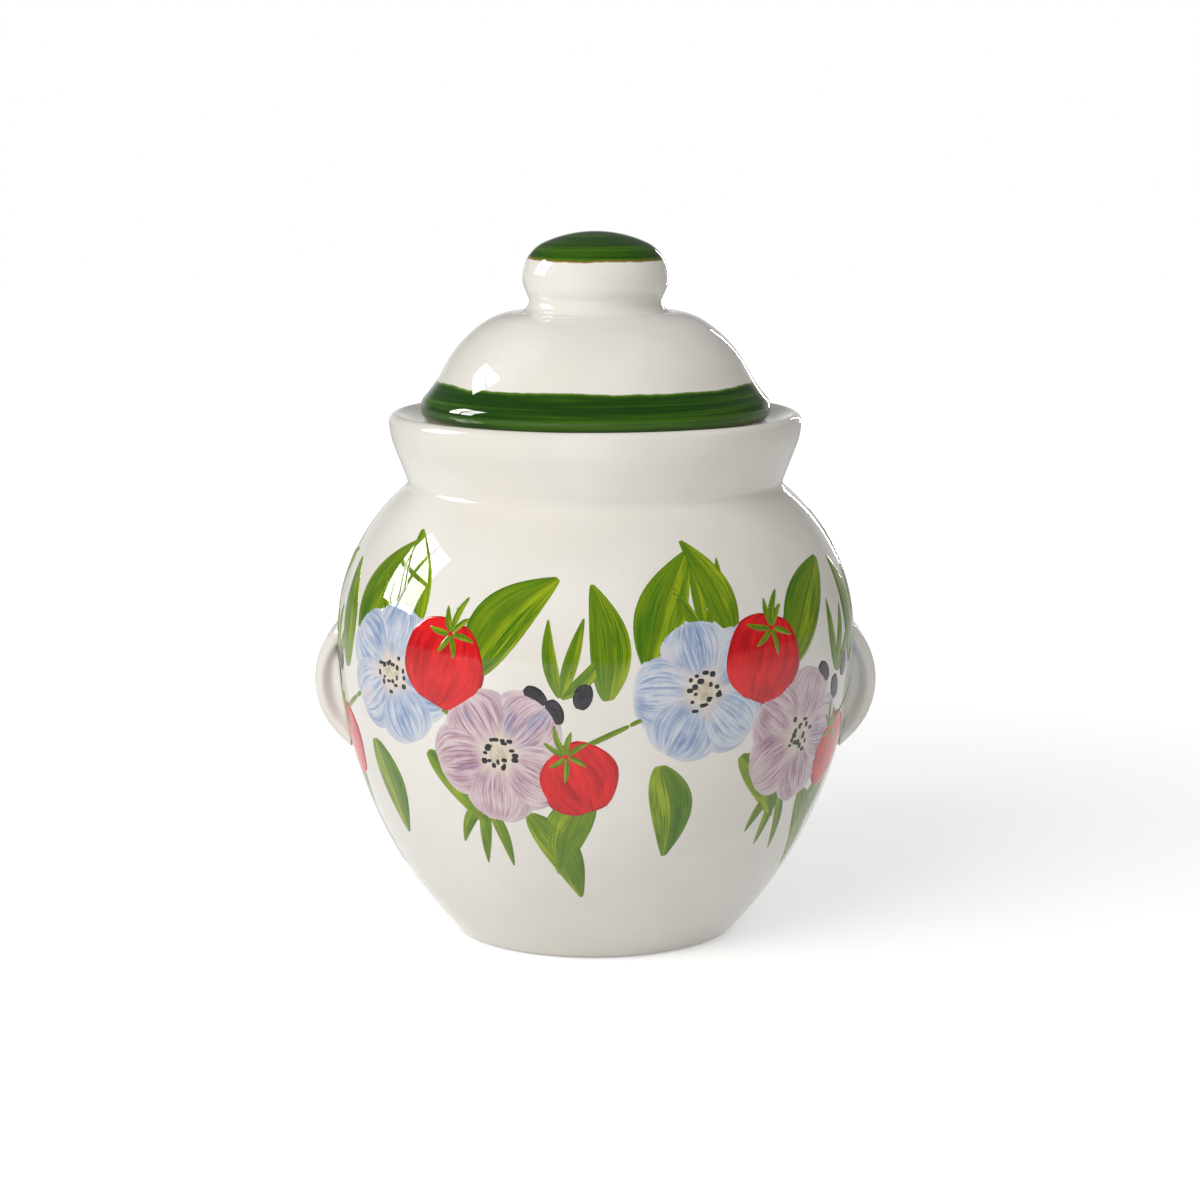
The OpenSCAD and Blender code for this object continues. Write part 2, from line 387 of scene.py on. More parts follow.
lug = {
    "radius": 23.5, "thickness": 14.0, "reach": 6.39, "height": 74.7, "embed": 71.6,
    "border": 2.5, "dish": 2.6, "dishFlat": 18.4, "dishSteps": 21,
    "blend": 4.5, "spread": 2.6,
}


def makeLug(name, side, node):
    dishRadius = lug["radius"] - lug["border"]
    half = lug["thickness"] / 2
    face = []
    for i in range(lug["dishSteps"] + 1):
        share = i / lug["dishSteps"]
        rise = min(1.0, max(0.0, (share * dishRadius - lug["dishFlat"]) / (dishRadius - lug["dishFlat"])))
        eased = rise * rise * (3 - 2 * rise)
        face.append((share * dishRadius, half - lug["dish"] * (1 - eased)))
    rim = pointsOnArc((dishRadius, half - lug["border"]), lug["border"], 90, 0, 10)
    upper = face + rim[1:]
    outline = [(r, -z) for r, z in upper] + [(r, z) for r, z in reversed(upper)]
    piece = turnOnWheel(name, outline, steps=120, closed=False)
    bpy.ops.object.mode_set(mode="EDIT")
    bpy.ops.mesh.select_all(action="SELECT")
    bpy.ops.transform.rotate(value=math.radians(90), orient_axis="X", center_override=(0, 0, 0))
    middle = side * (jar["bellyRadius"] + lug["reach"] - lug["radius"]) * mm
    bpy.ops.transform.translate(value=(middle, 0, lug["height"] * mm))
    bpy.ops.mesh.bisect(plane_co=(side * lug["embed"] * mm, 0, 0), plane_no=(side, 0, 0),
                        clear_inner=True, use_fill=True)
    bpy.ops.mesh.select_all(action="SELECT")
    bpy.ops.mesh.normals_make_consistent(inside=False)
    bpy.ops.object.mode_set(mode="OBJECT")
    spreadRoot(piece)
    dress(piece, ivoryGlaze, "jar", "jar_glaze", node)


def bellyRadiusAt(height):
    curve = jar["lowerCurve"] if height < jar["widestHeight"] else jar["shoulderCurve"]
    return jar["bellyRadius"] - curve + math.sqrt(max(curve ** 2 - (height - jar["widestHeight"]) ** 2, 0))


# Slip smoothed into the join, which widens the lug's root

def spreadRoot(piece):
    half = lug["thickness"] / 2
    for vertex in piece.data.vertices:
        x, y, z = vertex.co / mm
        above = math.hypot(x, y) - bellyRadiusAt(z)
        near = max(0.0, min(1.0, 1 - above / lug["blend"]))
        vertex.co.y += max(-1.0, min(1.0, y / half)) * lug["spread"] * near ** 2 * mm


makeLug("lugLeft", -1, "lug_left")
makeLug("lugRight", 1, "lug_right")
print("lugs joined")


# Lid

lid = {
    "radius": 51.0, "rimLowRound": 2.6, "rimRound": 4.1, "rimRise": 3.7, "ogee": 37.0, "domeInset": 2.8,
    "domeCurve": 35.0, "domeDrop": 1.3, "crownAngle": 57.7, "crownCurve": 18.5, "wall": 4.5,
    "insideEnds": 11, "bandHeight": 11.2, "bandBreak": 0.4, "bore": 13.0,
    "uneven": 0.0002, "unevenSize": 0.035,
    "collarOutside": 45.2, "collarWidth": 4.0, "collarDepth": 9.5, "collarRound": 1.4,
    "collarUneven": 0.0001, "collarUnevenSize": 0.03,
}
domeCentre = (lid["radius"] - lid["domeInset"] - lid["domeCurve"], seat - lid["domeDrop"])
crownOffset = lid["domeCurve"] - lid["crownCurve"]
crownCentre = (domeCentre[0] + crownOffset * math.cos(math.radians(lid["crownAngle"])),
               domeCentre[1] + crownOffset * math.sin(math.radians(lid["crownAngle"])))
domeTop = crownCentre[1] + lid["crownCurve"]
collarInside = lid["collarOutside"] - lid["collarWidth"]


def circlesMeet(a, reachA, b, reachB):
    gap = math.dist(a, b)
    along = (reachA ** 2 - reachB ** 2 + gap ** 2) / (2 * gap)
    off = math.sqrt(reachA ** 2 - along ** 2)
    ux, uy = (b[0] - a[0]) / gap, (b[1] - a[1]) / gap
    return (a[0] + along * ux - off * uy, a[1] + along * uy + off * ux)


def makeLidDome():
    rim = (lid["radius"] - lid["rimRound"], seat + lid["rimRise"])
    rimLow = (lid["radius"] - lid["rimLowRound"], seat + lid["rimLowRound"])
    ogee = circlesMeet(domeCentre, lid["domeCurve"] + lid["ogee"], rim, lid["rimRound"] + lid["ogee"])
    outline = (
        pointsOnArc(rimLow, lid["rimLowRound"], -90, 0, 9)
        + pointsOnArc(rim, lid["rimRound"], 0, angleTo(rim, ogee), 6)
        + pointsOnArc(ogee, lid["ogee"], angleTo(ogee, rim) % 360, angleTo(ogee, domeCentre) % 360, 1.5)[1:]
        + pointsOnArc(domeCentre, lid["domeCurve"], angleTo(domeCentre, ogee), lid["crownAngle"], 1.8)[1:]
        + pointsOnArc(crownCentre, lid["crownCurve"], lid["crownAngle"], 90, 3)[1:]
        + [(lid["bore"], domeTop), (lid["bore"], domeTop - lid["wall"])]
        + pointsOnArc(crownCentre, lid["crownCurve"] - lid["wall"], 90, lid["crownAngle"], 5)
        + pointsOnArc(domeCentre, lid["domeCurve"] - lid["wall"], lid["crownAngle"], lid["insideEnds"], 4)[1:]
        + [(collarInside, seat)])
    piece = turnOnWheel("lidDome", outline, steps=180)
    throwByHand(piece, lid["uneven"], lid["unevenSize"])
    band = makeGreenGlaze("greenBandGlaze", (seat + lid["bandHeight"]) * mm, -1, paintedGreen["thin"],
                          (seat + lid["bandBreak"]) * mm)
    dress(piece, band, "lid", "lid_glaze", "lid_dome")


def makeLidCollar():
    bottom = seat - lid["collarDepth"]
    curve = lid["collarRound"]
    outline = ([(lid["collarOutside"], seat), (collarInside, seat)]
               + pointsOnArc((collarInside + curve, bottom + curve), curve, 180, 270, 15)
               + pointsOnArc((lid["collarOutside"] - curve, bottom + curve), curve, 270, 360, 15))
    piece = turnOnWheel("lidCollar", outline, steps=160)
    throwByHand(piece, lid["collarUneven"], lid["collarUnevenSize"])
    dress(piece, ivoryGlaze, "lid", "lid_glaze", "lid_collar")


knob = {
    "radius": 21.25, "height": 23.0, "middle": 9.8, "curve": 11.0, "blend": 3.0, "wall": 4.5,
    "capFrom": 14.9, "sunk": 0.6, "uneven": 0.00015, "unevenSize": 0.03,
}


def makeLidKnob():
    side = (knob["radius"] - knob["curve"], domeTop + knob["middle"])
    over = knob["height"] - knob["middle"]
    topCurve = (over ** 2 + side[0] ** 2 - knob["curve"] ** 2) / (2 * (over - knob["curve"]))
    top = (0, domeTop + knob["height"] - topCurve)
    topAngle = angleTo(top, side)
    blend = sideways(side, knob["curve"] + knob["blend"], domeTop + knob["blend"])
    innerCurve = knob["curve"] - knob["wall"]
    boreAngle = math.degrees(math.acos((lid["bore"] - side[0]) / innerCurve))
    outline = (
        [(blend[0], domeTop - knob["sunk"])]
        + pointsOnArc(blend, knob["blend"], -90, angleTo(blend, side) - 360, 8)
        + pointsOnArc(side, knob["curve"], angleTo(side, blend), topAngle, 4)[1:]
        + pointsOnArc(top, topCurve, topAngle, 90, 2)[1:]
        + pointsOnArc(top, topCurve - knob["wall"], 90, topAngle, 5)
        + pointsOnArc(side, innerCurve, topAngle, -boreAngle, 10)[1:]
        + [(lid["bore"], domeTop), (lid["bore"] + knob["sunk"], domeTop - knob["sunk"])])
    piece = turnOnWheel("lidKnob", outline, steps=160)
    throwByHand(piece, knob["uneven"], knob["unevenSize"])
    cap = makeGreenGlaze("greenCapGlaze", (domeTop + knob["capFrom"]) * mm, 1, paintedGreen["brown"])
    dress(piece, cap, "lid", "lid_glaze", "lid_knob")


makeLidDome()
makeLidCollar()
makeLidKnob()
print("lid turned")


# Garland, painted in slightly raised colour: each motif is a small sheet bent on to the belly

garland = {
    "repeats": 5,
    "seed": 11,
    "lift": -0.10,            # mm from the drawn section, which the thrown wall lies a little inside
    "sunk": 0.45,             # mm that each edge lies under the drawn section
    "layerStep": 0.004,       # mm that each coat stands over the last
    "edgeThin": 0.05,         # mm that the paint thins towards its edge
    "edgeShare": 3.0,
    "wave": 8.0,
    "middle": -14.0,          # along the wall from the widest line, mm
    "start": -0.9,            # of a repeat, round from the front
    "loose": 1.0,             # mm that a hand misses by
}
draw = random.Random(garland["seed"])
paintLayers = {}


# A place on the belly: across is mm round the jar from the front, up is mm along its wall

def onBelly(across, up, lift):
    curve = jar["shoulderCurve"] if up > 0 else jar["lowerCurve"]
    turn = up / curve
    radius = jar["bellyRadius"] - curve + curve * math.cos(turn) + lift * math.cos(turn)
    height = jar["widestHeight"] + curve * math.sin(turn) + lift * math.sin(turn)
    a = across / jar["bellyRadius"] - math.pi / 2
    return Vector((radius * math.cos(a), radius * math.sin(a), height)) * mm


def paintPatch(kind, cells, shape, tint, layer=0):
    clearSelection()
    bpy.ops.mesh.primitive_grid_add(x_subdivisions=cells[0], y_subdivisions=cells[1], size=1)
    patch = bpy.context.object
    toneLayer = patch.data.attributes.new("tone", "FLOAT", "POINT")
    for vertex in patch.data.vertices:
        along, across = vertex.co.x + 0.5, vertex.co.y * 2
        place = shape(along, across)
        edge = min(1.0, 4 * along * (1 - along)) * (1 - across ** 2)
        thinned = garland["edgeThin"] * max(0.0, 1 - garland["edgeShare"] * edge)
        rise = garland["lift"] + garland["layerStep"] * layer - thinned
        if edge < 0.001:
            rise = -garland["sunk"]
        vertex.co = onBelly(place[0], place[1], rise)
        toneLayer.data[vertex.index].value = tint
    clearSelection()
    patch.select_set(True)
    bpy.ops.object.mode_set(mode="EDIT")
    bpy.ops.mesh.select_all(action="SELECT")
    bpy.ops.mesh.remove_doubles(threshold=1e-6)
    bpy.ops.mesh.normals_make_consistent(inside=False)
    bpy.ops.object.mode_set(mode="OBJECT")
    outward = sum(face.normal.dot(Vector((face.center.x, face.center.y, 0))) * face.area
                  for face in patch.data.polygons)
    if outward < 0:
        patch.data.flip_normals()
    paintLayers.setdefault(kind, []).append(patch)


# A stroke that starts at one point, bends sideways and ends in a tip

def strokeShape(x, y, length, width, angle, bend=0.0, fullest=0.42, blunt=0.8):
    a = math.radians(angle)
    ux, uy = math.cos(a), math.sin(a)

    def shape(along, across):
        swell = math.sin(math.pi * along ** (math.log(0.5) / math.log(fullest)))
        side = across * width / 2 * max(0.0, swell) ** blunt
        sag = bend * math.sin(math.pi * along)
        forward = length * along
        return (x + ux * forward - uy * (side + sag), y + uy * forward + ux * (side + sag))
    return shape


# A disc, which may have lobes

def roundShape(x, y, width, height, lean=0.0, lobes=0, lobeDepth=0.0):
    a = math.radians(lean)

    def shape(along, across):
        py = along * 2 - 1
        px = across * math.sqrt(max(0.0, 1 - py * py))
        turn = math.atan2(py, px)
        distance = math.hypot(px, py)
        swell = 1 + lobeDepth * math.cos(lobes * turn) * distance ** 2
        sx, sy = px * width / 2 * swell, py * height / 2 * swell
        return (x + sx * math.cos(a) - sy * math.sin(a), y + sx * math.sin(a) + sy * math.cos(a))
    return shape


def paintLeaf(x, y, length, width, angle, bend, layer=2):
    paintPatch("leaves", (30, 12), strokeShape(x, y, length, width, angle, bend), draw.random(), layer)


# Blossoms: five wide petals, a pale centre and a loose ring of black dabs

blossom = {
    "petals": 5, "petalWidth": 1.12, "petalFullest": 0.62, "petalBlunt": 0.55, "tintSpread": 0.12,
    "centreWidth": 0.42, "centreHeight": 0.40, "dabs": 18, "dabNearest": 0.10, "dabFarthest": 0.27,
}


def paintBlossom(x, y, size, tint, layer):
    petalTurn, dabTurn = 360 / blossom["petals"], 360 / blossom["dabs"]
    start = draw.uniform(0, petalTurn)
    for petal in range(blossom["petals"]):
        angle = start + petal * petalTurn + draw.uniform(-6, 6)
        reach = size * draw.uniform(0.93, 1.05)
        shape = strokeShape(x, y, reach, size * blossom["petalWidth"], angle,
                            fullest=blossom["petalFullest"], blunt=blossom["petalBlunt"])
        petalTint = tint + draw.uniform(-blossom["tintSpread"], blossom["tintSpread"])
        paintPatch("petals", (22, 18), shape, petalTint, layer + petal * 0.6)
    centre = roundShape(x, y, size * blossom["centreWidth"], size * blossom["centreHeight"])
    paintPatch("centres", (18, 18), centre, draw.random(), layer + 5)
    for dab in range(blossom["dabs"]):
        turn = math.radians(dab * dabTurn + draw.uniform(-9, 9))
        away = size * draw.uniform(blossom["dabNearest"], blossom["dabFarthest"])
        shape = roundShape(x + away * math.cos(turn), y + away * math.sin(turn),
                           draw.uniform(1.2, 2.7), draw.uniform(1.1, 2.1))
        paintPatch("dabs", (10, 10), shape, draw.random(), layer + 8)


# Tomatoes: a faintly ribbed disc with narrow sepals and a stalk near the top

tomato = {
    "flatness": 0.9, "ribs": 5, "ribDepth": 0.02, "crown": 0.30,
    "sepals": 6, "sepalShortest": 0.24, "sepalLongest": 0.34, "sepalWidth": 0.09,
    "stalkLength": 0.42, "stalkWidth": 0.10, "stalkLean": 84,
}


def paintTomato(x, y, size, lean, layer):
    disc = roundShape(x, y, size, size * tomato["flatness"], lean, tomato["ribs"], tomato["ribDepth"])
    paintPatch("tomatoes", (26, 26), disc, draw.random(), layer)
    a = math.radians(lean + 90)
    tx, ty = x + math.cos(a) * size * tomato["crown"], y + math.sin(a) * size * tomato["crown"]
    for sepal in range(tomato["sepals"]):
        length = size * draw.uniform(tomato["sepalShortest"], tomato["sepalLongest"])
        angle = lean + sepal * 360 / tomato["sepals"] + draw.uniform(-10, 10)
        shape = strokeShape(tx, ty, length, size * tomato["sepalWidth"], angle, bend=0.4)
        paintPatch("leaves", (12, 6), shape, draw.random(), layer + 3)
    stalk = strokeShape(tx, ty, size * tomato["stalkLength"], size * tomato["stalkWidth"],
                        lean + tomato["stalkLean"], bend=1.0)
    paintPatch("leaves", (10, 6), stalk, draw.random(), layer + 4)


olive = {"narrow": 0.72, "size": 8, "layer": 6}


def paintOlive(x, y, lean):
    shape = roundShape(x, y, olive["size"] * olive["narrow"], olive["size"], lean)
    paintPatch("olives", (20, 20), shape, draw.random(), olive["layer"])


# The wavy stem, and how the motifs sit along one repeat of it

stem = {"strokes": 8, "width": 2.4, "overlap": 1.0, "tint": 0.2}
sprig = {"fan": (-26, 0, 25), "shortest": 17, "longest": 24, "width": 4.6, "bend": 0.05}


def stemHeight(x, span):
    return garland["middle"] + garland["wave"] * math.sin(2 * math.pi * x / span)


def paintStem(first, span):
    for i in range(stem["strokes"]):
        a, b = span * i / stem["strokes"], span * (i + 1) / stem["strokes"]
        ay, by = stemHeight(a, span), stemHeight(b, span)
        shape = strokeShape(first + a - stem["overlap"], ay, math.hypot(b - a, by - ay) + 2 * stem["overlap"],
                            stem["width"], math.degrees(math.atan2(by - ay, b - a)), fullest=0.5, blunt=0.3)
        paintPatch("leaves", (10, 4), shape, stem["tint"], 1)


def paintRepeat(first, span):
    miss = garland["loose"]

    def at(share, up):
        x = first + share * span + draw.uniform(-miss, miss)
        return (x, stemHeight(share * span, span) + up + draw.uniform(-miss, miss))

    def leafAt(share, up, length, width, lean, bend):
        paintLeaf(*at(share, up), length, width, lean, bend)

    def sprigAt(share, up, lean):
        x, y = at(share, up)
        for fan in sprig["fan"]:
            length = draw.uniform(sprig["shortest"], sprig["longest"])
            paintLeaf(x, y, length, sprig["width"], lean + fan, fan * sprig["bend"], 1)

    leafAt(0.06, 12, length=38, width=17, lean=66, bend=3)
    leafAt(0.33, 16, length=33, width=12, lean=112, bend=-2)
    leafAt(0.52, 13, length=40, width=18, lean=48, bend=4)
    leafAt(0.93, 11, length=34, width=13, lean=98, bend=-3)
    leafAt(0.10, -15, length=31, width=15, lean=-82, bend=3)
    leafAt(0.36, -17, length=30, width=11, lean=-50, bend=2)
    leafAt(0.68, -19, length=34, width=13, lean=-62, bend=3)
    leafAt(0.90, -15, length=30, width=15, lean=-112, bend=-3)
    sprigAt(0.22, 18, lean=95)
    sprigAt(0.80, 15, lean=74)
    sprigAt(0.55, -20, lean=-100)
    paintStem(first, span)
    paintBlossom(*at(0.22, 2), size=22, tint=0.25, layer=4)
    paintBlossom(*at(0.60, -3), size=21, tint=0.75, layer=9)
    paintTomato(*at(0.43, 13), size=29, lean=-18, layer=16)
    paintTomato(*at(0.85, -9), size=25, lean=24, layer=16)
    paintOlive(*at(0.79, 12), lean=20)
    paintOlive(*at(0.86, 15), lean=-15)
    paintOlive(*at(0.72, 17), lean=50)


def paintGarland():
    span = 2 * math.pi * jar["bellyRadius"] / garland["repeats"]
    for i in range(garland["repeats"]):
        paintRepeat((garland["start"] + i) * span, span)


# Brushed colours: streaks run along each stroke, and thin at its edge where the ivory shows

brush = {
    "apart": (17.0, 31.0, 7.0),       # moves the streaks of each stroke to another place in the noise
    "streakShare": 0.62, "patchStretch": (2.2, 2.8, 1), "streakHeight": 0.00003,
    "secondFrom": 0.85, "secondTo": 1.25,
    "rootFrom": 0.62, "rootTo": 0.38, "rootFray": 0.5,
    "shadeFrom": 0.44, "shadeTo": 0.58, "shadeFray": 0.3, "shade": 0.55,
    "ribFrom": 0.10, "ribTo": 0.02,
    "edgeFray": 0.16, "washFrom": 0.2,
}


def strokeCoordinates(material):
    place = addNode(material, "ShaderNodeUVMap", uv_map="UVMap")
    tone = addNode(material, "ShaderNodeAttribute", attribute_name="tone")
    shift = addNode(material, "ShaderNodeVectorMath", operation="SCALE", values={0: brush["apart"]})
    link(material, tone.outputs["Fac"], shift.inputs["Scale"])
    moved = addNode(material, "ShaderNodeVectorMath", operation="ADD")
    link(material, place.outputs[0], moved.inputs[0])
    link(material, shift.outputs[0], moved.inputs[1])
    split = addNode(material, "ShaderNodeSeparateXYZ")
    link(material, place.outputs[0], split.inputs[0])
    return moved.outputs[0], split.outputs[0], split.outputs[1], tone.outputs["Fac"]


def edgeDistance(material, along, across):
    fromMiddle = calculate(material, "ABSOLUTE", calculate(material, "MULTIPLY_ADD", across, 2.0, -1.0))
    fromEnds = calculate(material, "ABSOLUTE", calculate(material, "MULTIPLY_ADD", along, 2.0, -1.0))
    furthest = calculate(material, "MAXIMUM", fromMiddle, fromEnds)
    return calculate(material, "SUBTRACT", 1.0, furthest), fromMiddle


# Adds streaks to a value, so that where it ends looks brushed

def frayed(material, value, streaks, amount):
    fray = calculate(material, "MULTIPLY_ADD", streaks, amount, -amount / 2)
    return calculate(material, "ADD", value, fray)


def makeStrokePaint(name, dark, light, rim, stretch=(2.5, 26, 1), rimWidth=0.12, cover=1.0,
                    low=0.35, high=0.65, second=None, midrib=None, root=None):
    material = newMaterial(name)
    coordinates = objectCoordinates(material)
    moved, along, across, tone = strokeCoordinates(material)
    streaks = noiseOn(material, moved, stretch, detail=5, roughness=0.62)
    patches = noiseOn(material, moved, brush["patchStretch"], detail=2)
    amount = calculate(material, "ADD", calculate(material, "MULTIPLY", streaks, brush["streakShare"]),
                       calculate(material, "MULTIPLY", patches, 1 - brush["streakShare"]))
    lightness = rampBetween(material, amount, low, high)
    colour = mixColours(material, lightness, dark, light)
    if second is not None:
        choose = rampBetween(material, calculate(material, "ADD", patches, tone),
                             brush["secondFrom"], brush["secondTo"])
        colour = mixColours(material, choose, colour, mixColours(material, lightness, second[0], second[1]))
    edge, fromMiddle = edgeDistance(material, along, across)
    if root is not None:
        fray = calculate(material, "MULTIPLY", streaks, brush["rootFray"])
        fromRoot = calculate(material, "ADD", along, fray)
        near = rampBetween(material, fromRoot, brush["rootFrom"], brush["rootTo"])
        colour = mixColours(material, near, colour, root)
    if midrib is not None:
        half = rampBetween(material, frayed(material, across, streaks, brush["shadeFray"]),
                           brush["shadeFrom"], brush["shadeTo"])
        colour = mixColours(material, calculate(material, "MULTIPLY", half, brush["shade"]), colour, dark)
        onRib = rampBetween(material, fromMiddle, brush["ribFrom"], brush["ribTo"])
        colour = mixColours(material, onRib, colour, midrib)
    brushedEdge = frayed(material, edge, streaks, brush["edgeFray"])
    colour = mixColours(material, rampBetween(material, brushedEdge, 0.0, rimWidth), rim, colour)
    if cover < 1:
        wash = rampBetween(material, calculate(material, "ADD", streaks, brushedEdge),
                           brush["washFrom"], brush["washFrom"] + cover)
        colour = mixColours(material, wash, ivoryColour(material, coordinates), colour)
    return finishGlaze(material, colour, coordinates, streaks, brush["streakHeight"])


paints = {
    "leaves": dict(
        name="leafPaint", dark=(0.045, 0.155, 0.004), light=(0.36, 0.46, 0.010), rim=(0.24, 0.27, 0.008),
        midrib=(0.12, 0.20, 0.005)),
    "petals": dict(
        name="petalPaint", dark=(0.20, 0.30, 0.52), light=(0.64, 0.68, 0.74), rim=(0.20, 0.27, 0.46),
        second=((0.34, 0.15, 0.23), (0.70, 0.58, 0.60)), root=(0.72, 0.62, 0.52),
        stretch=(2.2, 30, 1), rimWidth=0.09, cover=0.62, low=0.36, high=0.60),
    "centres": dict(
        name="centrePaint", dark=(0.50, 0.42, 0.30), light=(0.74, 0.68, 0.55), rim=(0.5, 0.42, 0.34),
        stretch=(8, 8, 1), rimWidth=0.3, cover=0.9),
    "dabs": dict(
        name="dabPaint", dark=(0.004, 0.004, 0.006), light=(0.02, 0.02, 0.03), rim=(0.01, 0.01, 0.015)),
    "tomatoes": dict(
        name="tomatoPaint", dark=(0.44, 0.004, 0.008), light=(0.80, 0.016, 0.018), rim=(0.28, 0.003, 0.006),
        stretch=(2.2, 12, 1), rimWidth=0.16, low=0.33, high=0.62),
    "olives": dict(
        name="olivePaint", dark=(0.006, 0.006, 0.008), light=(0.05, 0.045, 0.06), rim=(0.01, 0.01, 0.012),
        stretch=(4, 12, 1), rimWidth=0.1),
}
pieceNames = {"leaves": "paintedLeaves", "petals": "paintedPetals", "centres": "blossomCentres",
              "dabs": "stamenDabs", "tomatoes": "paintedTomatoes", "olives": "paintedOlives"}


def joinPaint():
    for kind, patches in paintLayers.items():
        clearSelection()
        for patch in patches:
            patch.select_set(True)
        bpy.context.view_layer.objects.active = patches[0]
        bpy.ops.object.join()
        piece = bpy.context.object
        piece.name = pieceNames[kind]
        bpy.ops.object.shade_smooth()
        dress(piece, makeStrokePaint(**paints[kind]), "jar", "jar_glaze")


paintGarland()
joinPaint()
print("garland painted")


# Studio: pale floor, white surroundings and soft lamps

studio = {
    "floorSize": 6.0, "floorColour": (0.80, 0.80, 0.80), "floorGlow": 0.46, "farGlow": 1.0,
    "glowFrom": 0.22, "glowTo": 0.9,
    "roomLight": 0.46, "roomInGloss": 0.16, "backdropInGloss": 0.8,
    "backdropLow": 0.05, "backdropHigh": 0.25, "backdropFrom": 0.75, "backdropTo": 0.99,
    "windowDistance": 1.1, "windowTurn": -98.0, "windowRise": 24.0, "paneWidth": 0.20, "paneHeight": 0.26,
    "paneGap": 0.035, "windowPower": 11.0, "lampAim": 0.1,
    "softPower": 16.5, "fillPower": 0.3, "stripPower": 2.2,
}


# A lamp turned round the jar from the front. Some only show in the gloss, as a window across the room does

def addLamp(name, turn, rise, distance, width, height, power, colour, glossOnly, shift=(0, 0)):
    a, e = math.radians(turn), math.radians(rise)
    away = Vector((math.sin(a) * math.cos(e), -math.cos(a) * math.cos(e), math.sin(e)))
    aim = Vector((0, 0, studio["lampAim"]))
    clearSelection()
    bpy.ops.object.light_add(type="AREA", location=aim + away * distance)
    lamp = bpy.context.object
    lamp.name = name
    lamp.rotation_euler = (-away).to_track_quat("-Z", "Y").to_euler()
    lamp.location += lamp.rotation_euler.to_matrix() @ Vector((shift[0], shift[1], 0))
    lamp.data.shape = "RECTANGLE"
    lamp.data.size = width
    lamp.data.size_y = height
    lamp.data.energy = power
    lamp.data.color = colour
    lamp.visible_camera = False
    lamp.visible_diffuse = not glossOnly
    lamp.visible_glossy = glossOnly


def lightStudio():
    across = (studio["paneWidth"] + studio["paneGap"]) / 2
    up = (studio["paneHeight"] + studio["paneGap"]) / 2
    for column in (-1, 1):
        for row in (-1, 1):
            addLamp("windowPane", studio["windowTurn"], studio["windowRise"], studio["windowDistance"],
                    studio["paneWidth"], studio["paneHeight"], studio["windowPower"] / 4,
                    colour=(1, 0.985, 0.96), glossOnly=True, shift=(column * across, row * up))
    addLamp("softLamp", turn=-38, rise=30, distance=1.6, width=1.2, height=1.2, power=studio["softPower"],
            colour=(1, 0.985, 0.965), glossOnly=False)
    addLamp("fillLamp", turn=70, rise=15, distance=1.6, width=0.9, height=0.9, power=studio["fillPower"],
            colour=(1, 0.93, 0.84), glossOnly=False)
    addLamp("edgeStrip", turn=161, rise=3, distance=1.5, width=0.04, height=0.8, power=studio["stripPower"],
            colour=(1, 0.95, 0.88), glossOnly=True)


def inReflections(owner, paths):
    return calculate(owner, "ADD", paths.outputs["Is Glossy Ray"], paths.outputs["Is Transmission Ray"],
                     clamp=True)


# The floor's own glow rises with distance for the camera, and fades with distance in the gloss

def layFloor():
    clearSelection()
    bpy.ops.mesh.primitive_plane_add(size=studio["floorSize"])
    floor = bpy.context.object
    floor.name = "studioFloor"
    bpy.ops.object.mode_set(mode="EDIT")
    bpy.ops.mesh.subdivide(number_cuts=3)
    bpy.ops.object.mode_set(mode="OBJECT")
    material = newMaterial("paleFloor")
    paths = addNode(material, "ShaderNodeLightPath")
    mirrored = inReflections(material, paths)
    surface = addNode(material, "ShaderNodeBsdfDiffuse", {"Color": (*studio["floorColour"], 1)})
    glow = addNode(material, "ShaderNodeEmission")
    away = addNode(material, "ShaderNodeVectorMath", operation="LENGTH")
    link(material, objectCoordinates(material), away.inputs[0])
    farness = rampBetween(material, away.outputs["Value"], studio["glowFrom"], studio["glowTo"])
    nearGlow, farGlow = studio["floorGlow"], studio["farGlow"]
    rising = calculate(material, "MULTIPLY_ADD", farness, farGlow - nearGlow, nearGlow)
    fading = calculate(material, "MULTIPLY_ADD", farness, -nearGlow, nearGlow)
    reflected = calculate(material, "MULTIPLY", mirrored, fading)
    straight = calculate(material, "MULTIPLY", paths.outputs["Is Camera Ray"], rising)
    link(material, calculate(material, "ADD", straight, reflected), glow.inputs["Strength"])
    both = addNode(material, "ShaderNodeAddShader")
    link(material, surface.outputs[0], both.inputs[0])
    link(material, glow.outputs[0], both.inputs[1])
    output = addNode(material, "ShaderNodeOutputMaterial")
    link(material, both.outputs[0], output.inputs["Surface"])
    floor.data.materials.append(material)


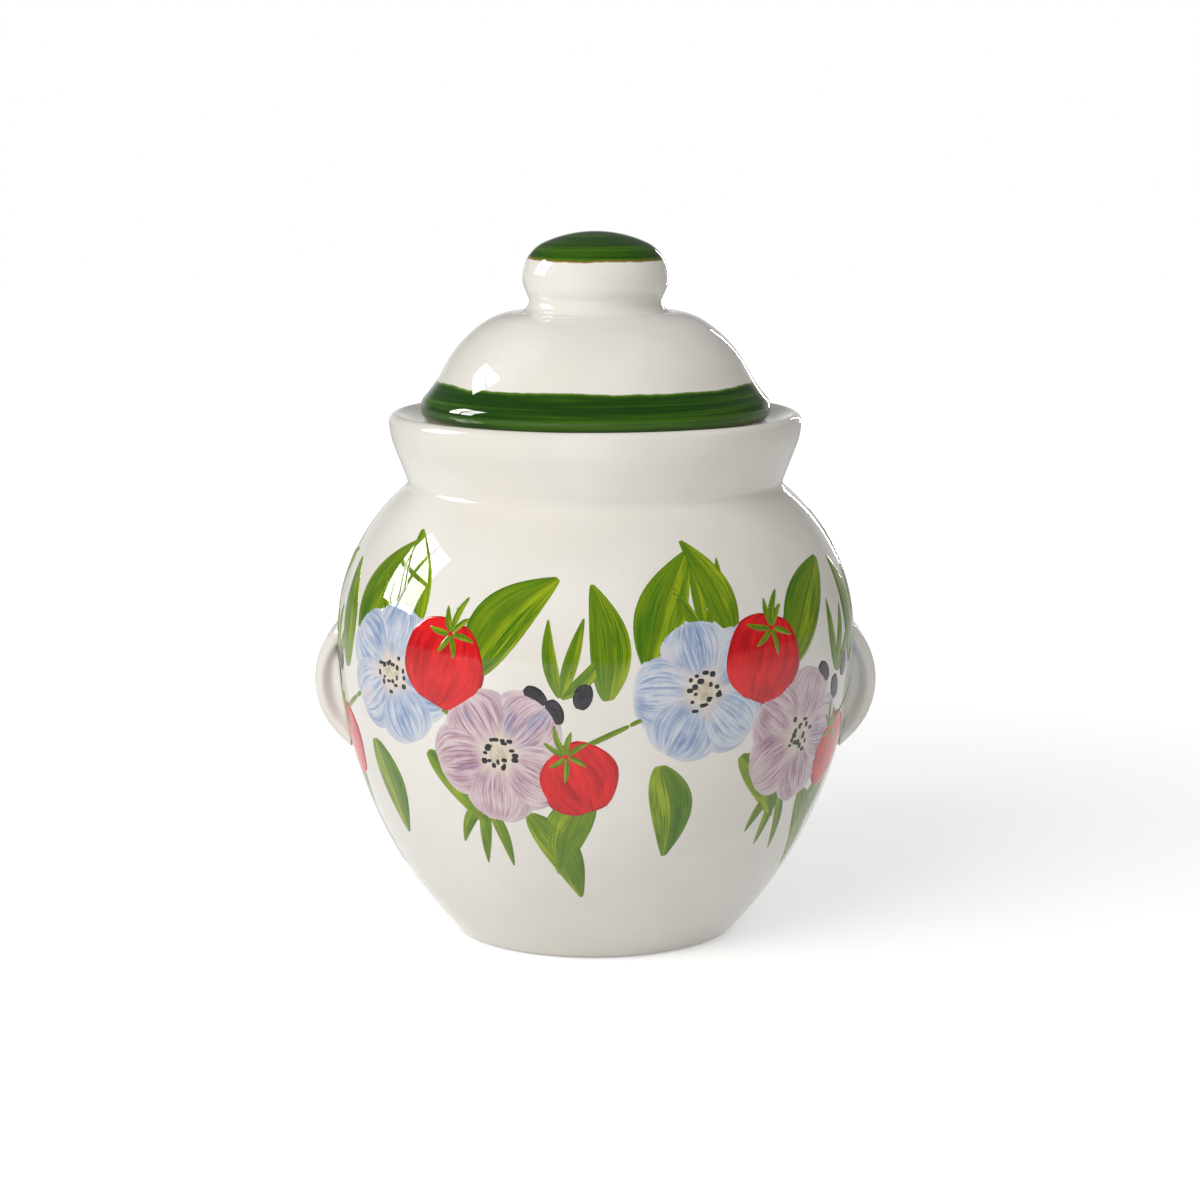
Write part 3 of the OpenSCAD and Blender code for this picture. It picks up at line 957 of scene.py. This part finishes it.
def mixLevels(owner, amount, first, second):
    made = addNode(owner, "ShaderNodeMix")
    for socket, value in ((made.inputs[0], amount), (made.inputs[2], first), (made.inputs[3], second)):
        if isinstance(value, float):
            socket.default_value = value
        else:
            link(owner, value, socket)
    return made.outputs[0]


# White behind the jar; in the gloss only a low backdrop is white, and the rest of the room is dim

def fillRoom():
    world = bpy.data.worlds.new("studioRoom")
    bpy.context.scene.world = world
    world.use_nodes = True
    world.node_tree.nodes.clear()
    paths = addNode(world, "ShaderNodeLightPath")
    place = addNode(world, "ShaderNodeTexCoord")
    split = addNode(world, "ShaderNodeSeparateXYZ")
    link(world, place.outputs["Generated"], split.inputs[0])
    low = addNode(world, "ShaderNodeMapRange",
                  {"From Min": studio["backdropHigh"], "From Max": studio["backdropLow"]})
    link(world, split.outputs[2], low.inputs["Value"])
    behind = addNode(world, "ShaderNodeMapRange",
                     {"From Min": studio["backdropFrom"], "From Max": studio["backdropTo"]})
    link(world, split.outputs[1], behind.inputs["Value"])
    backdrop = calculate(world, "MULTIPLY", low.outputs[0], behind.outputs[0])
    inGloss = mixLevels(world, backdrop, studio["roomInGloss"], studio["backdropInGloss"])
    unseen = mixLevels(world, inReflections(world, paths), studio["roomLight"], inGloss)
    strength = mixLevels(world, paths.outputs["Is Camera Ray"], unseen, 1.0)
    background = addNode(world, "ShaderNodeBackground", {"Color": (1, 1, 1, 1)})
    link(world, strength, background.inputs["Strength"])
    output = addNode(world, "ShaderNodeOutputWorld")
    link(world, background.outputs[0], output.inputs["Surface"])


view = {
    "distance": 0.9, "height": 0.24568, "sideways": 0.00135, "lookDown": 9.354,
    "lens": 93.02, "sensor": 36.0,
}


def placeCamera():
    bpy.ops.object.camera_add(location=(view["sideways"], -view["distance"], view["height"]),
                              rotation=(math.radians(90 - view["lookDown"]), 0, 0))
    camera = bpy.context.object
    camera.data.lens = view["lens"]
    camera.data.sensor_width = view["sensor"]
    bpy.context.scene.camera = camera


lightStudio()
layFloor()
fillRoom()
placeCamera()
bpy.context.scene.view_settings.view_transform = "Standard"
print("studio lit")
